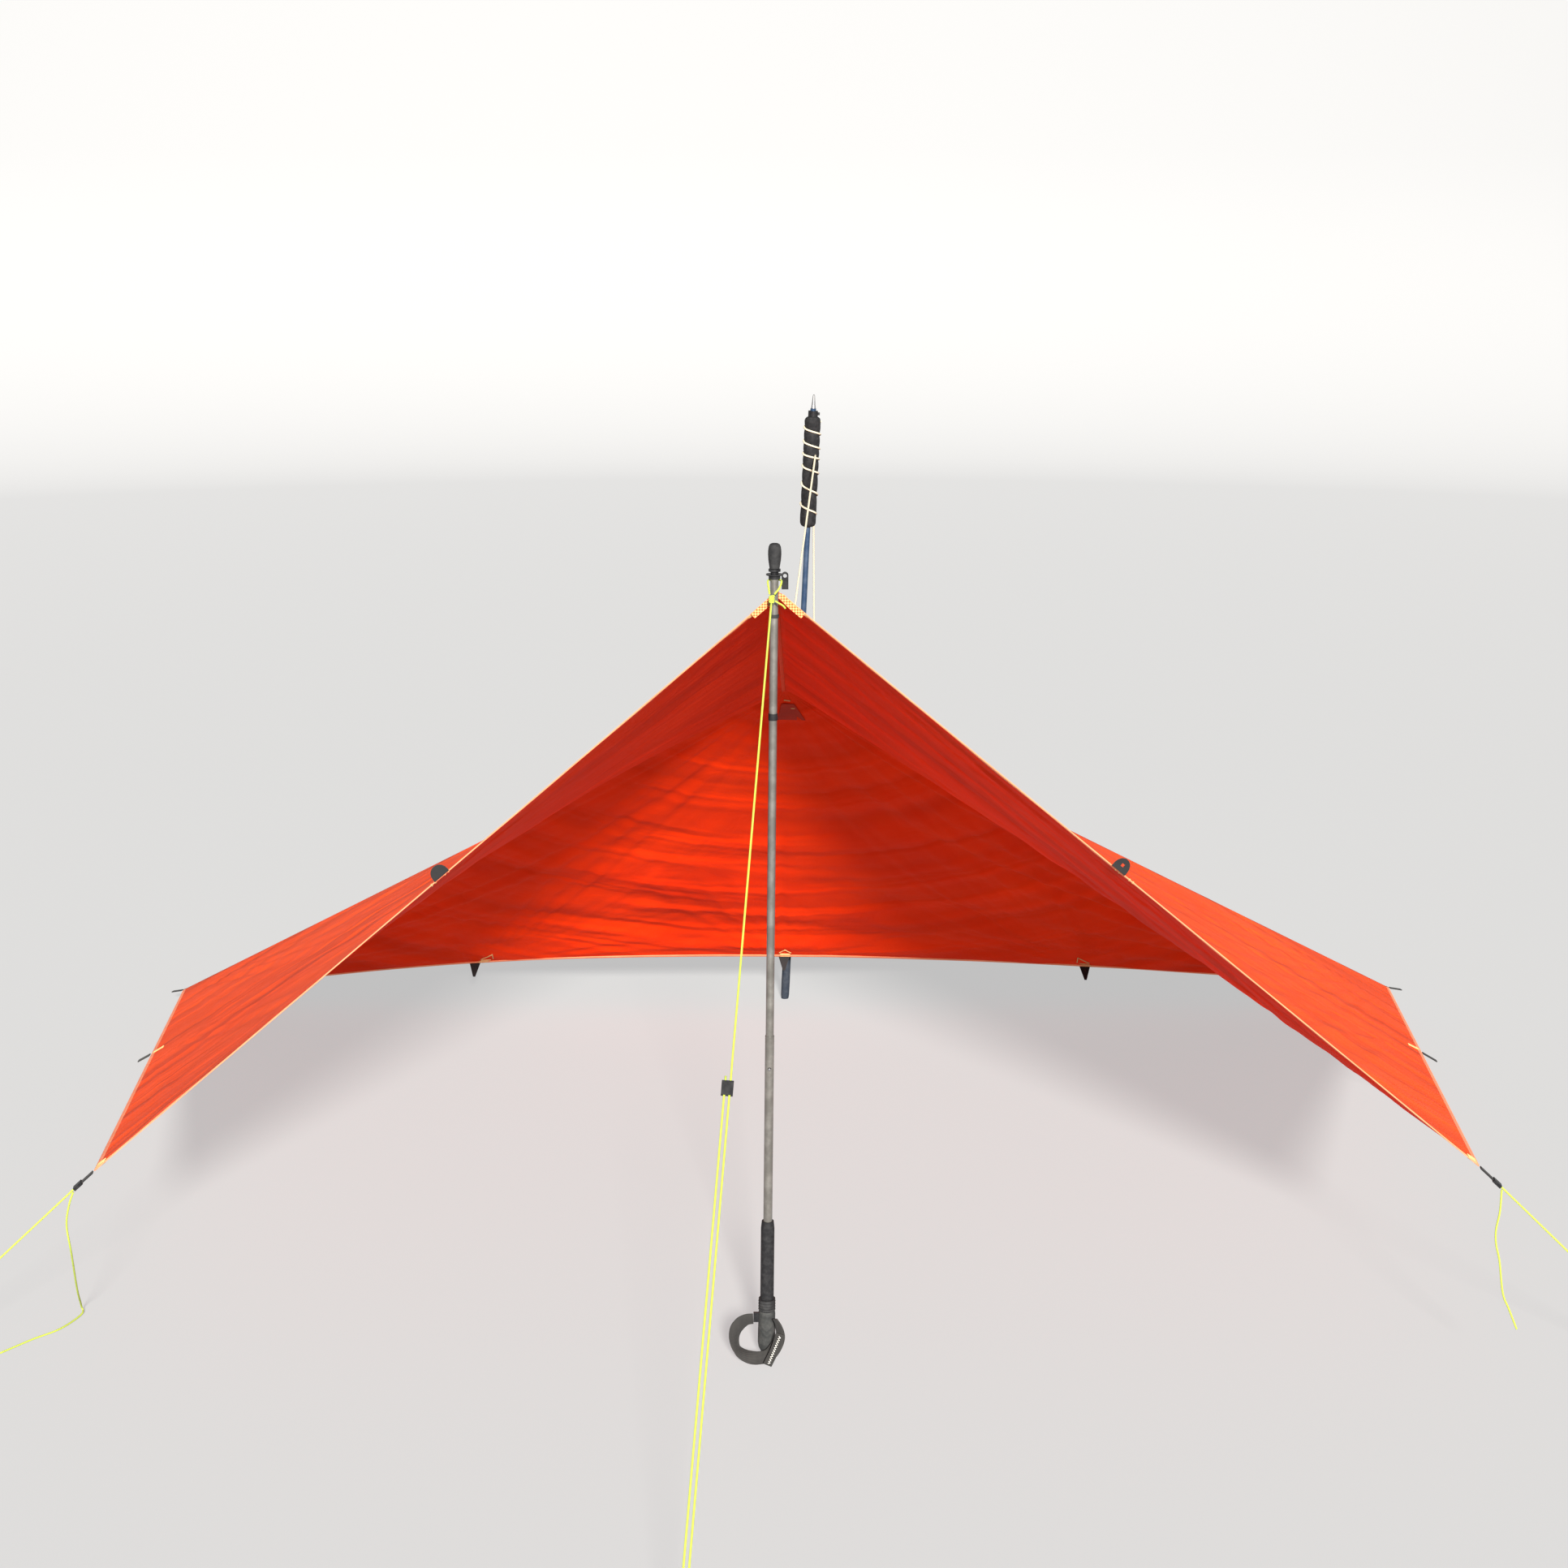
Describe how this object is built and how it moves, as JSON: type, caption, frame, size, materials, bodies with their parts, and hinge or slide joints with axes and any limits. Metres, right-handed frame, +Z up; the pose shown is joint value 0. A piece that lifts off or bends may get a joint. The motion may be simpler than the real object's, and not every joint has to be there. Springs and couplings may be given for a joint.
{
  "type": "tarp shelter pitched on two trekking poles",
  "caption": "Orange rectangular tarp pitched as a low shelter, its front peak on an upturned trekking pole, guylines out to the ground and its ridge end held by rope from a second pole.",
  "frame": {"origin": "on the ground at the middle of the front pole's foot", "axes": "+Z up; the open front faces -Y, so the ridge runs back along +Y; +X to the right seen from the front"},
  "size_m": [2.931, 3.3625, 1.3668],
  "materials": {
    "cloth": "matte coated nylon",
    "patch": "matte doubled nylon",
    "webbing": "woven webbing",
    "cord": "braided cord",
    "rope": "braided rope",
    "grey_tube": "satin",
    "blue_tube": "satin",
    "black_plastic": "matte",
    "rubber": "matte",
    "foam": "closed-cell foam",
    "steel": "brushed"
  },
  "bodies": {
    "shelter": {"tarp_left_roof": "cloth", "tarp_right_roof": "cloth", "tarp_back_wall": "cloth", "ridge_patch": "patch", "middle_tube": "grey_tube", "joint_sleeve": "black_plastic", "upper_tube": "grey_tube", "shaft_tip": "black_plastic", "carbide_tip": "steel", "tip_collar": "black_plastic", "basket_disc": "black_plastic", "tip_ring": "black_plastic", "shaft_band": "rubber", "rear_pole_grip": "rubber", "rear_pole_shaft": "blue_tube", "rear_pole_sleeve": "foam", "rear_pole_collar": "black_plastic", "rear_pole_tip": "steel", "peak_webbing": "cloth", "peak_tab": "webbing", "front_tab_left": "webbing", "front_tab_right": "webbing", "back_loop_left": "webbing", "back_loop_centre": "webbing", "back_loop_right": "webbing", "front_corner_webbing_left": "webbing", "front_corner_webbing_right": "webbing", "back_corner_webbing_left": "webbing", "back_corner_webbing_right": "webbing", "side_loop_left": "webbing", "side_loop_right": "webbing", "line_lock_left": "black_plastic", "line_lock_right": "black_plastic", "left_guyline": "cord", "left_ground_loop": "cord", "right_guyline": "cord", "right_ground_loop": "cord", "left_line_tail": "cord", "right_line_tail": "cord", "front_guyline_knot": "cord", "front_guyline_collar_loop": "cord", "front_guyline_tail": "cord", "front_guyline_upper": "cord", "front_guyline_lower": "cord", "front_ground_loop": "cord", "rear_rope_wrap": "rope", "ridge_tie_loop": "webbing", "rear_ridge_rope": "rope", "rear_guyline": "rope", "rear_ground_loop": "rope"},
    "grip_section": {"handle": "rubber", "textured_collar": "black_plastic", "grip_extension": "foam", "grip_tube": "grey_tube", "strap_wedge": "black_plastic"},
    "wrist_loop": {"wrist_strap": "webbing"},
    "lock_pin": {"lock_button": "steel"},
    "tip_cover": {"tip_protector": "rubber"},
    "line_runner": {"guyline_tensioner": "black_plastic"}
  },
  "joints": [
    {"name": "grip_height", "type": "slide", "parent": "shelter", "child": "grip_section", "axis": [0.0112, 0, 0.9999], "range_m": [0, 0.2]},
    {"name": "wrist_loop_swing", "type": "hinge", "parent": "grip_section", "child": "wrist_loop", "pos_m": [0, -0.019, 0.082], "axis": [-1, 0, 0], "range_deg": [0, 80]},
    {"name": "lock_button_press", "type": "slide", "parent": "grip_section", "child": "lock_pin", "axis": [0, 1, 0], "range_m": [0, 0.001], "stiffness_N_per_m": 300, "springref_m": -0.001},
    {"name": "tip_cover_pull", "type": "slide", "parent": "shelter", "child": "tip_cover", "axis": [0.0112, 0, 0.9999], "range_m": [0, 0.045]},
    {"name": "tensioner_slide", "type": "slide", "parent": "shelter", "child": "line_runner", "axis": [-0.0714, -0.6411, -0.7641], "range_m": [0, 0.25]}
  ]
}
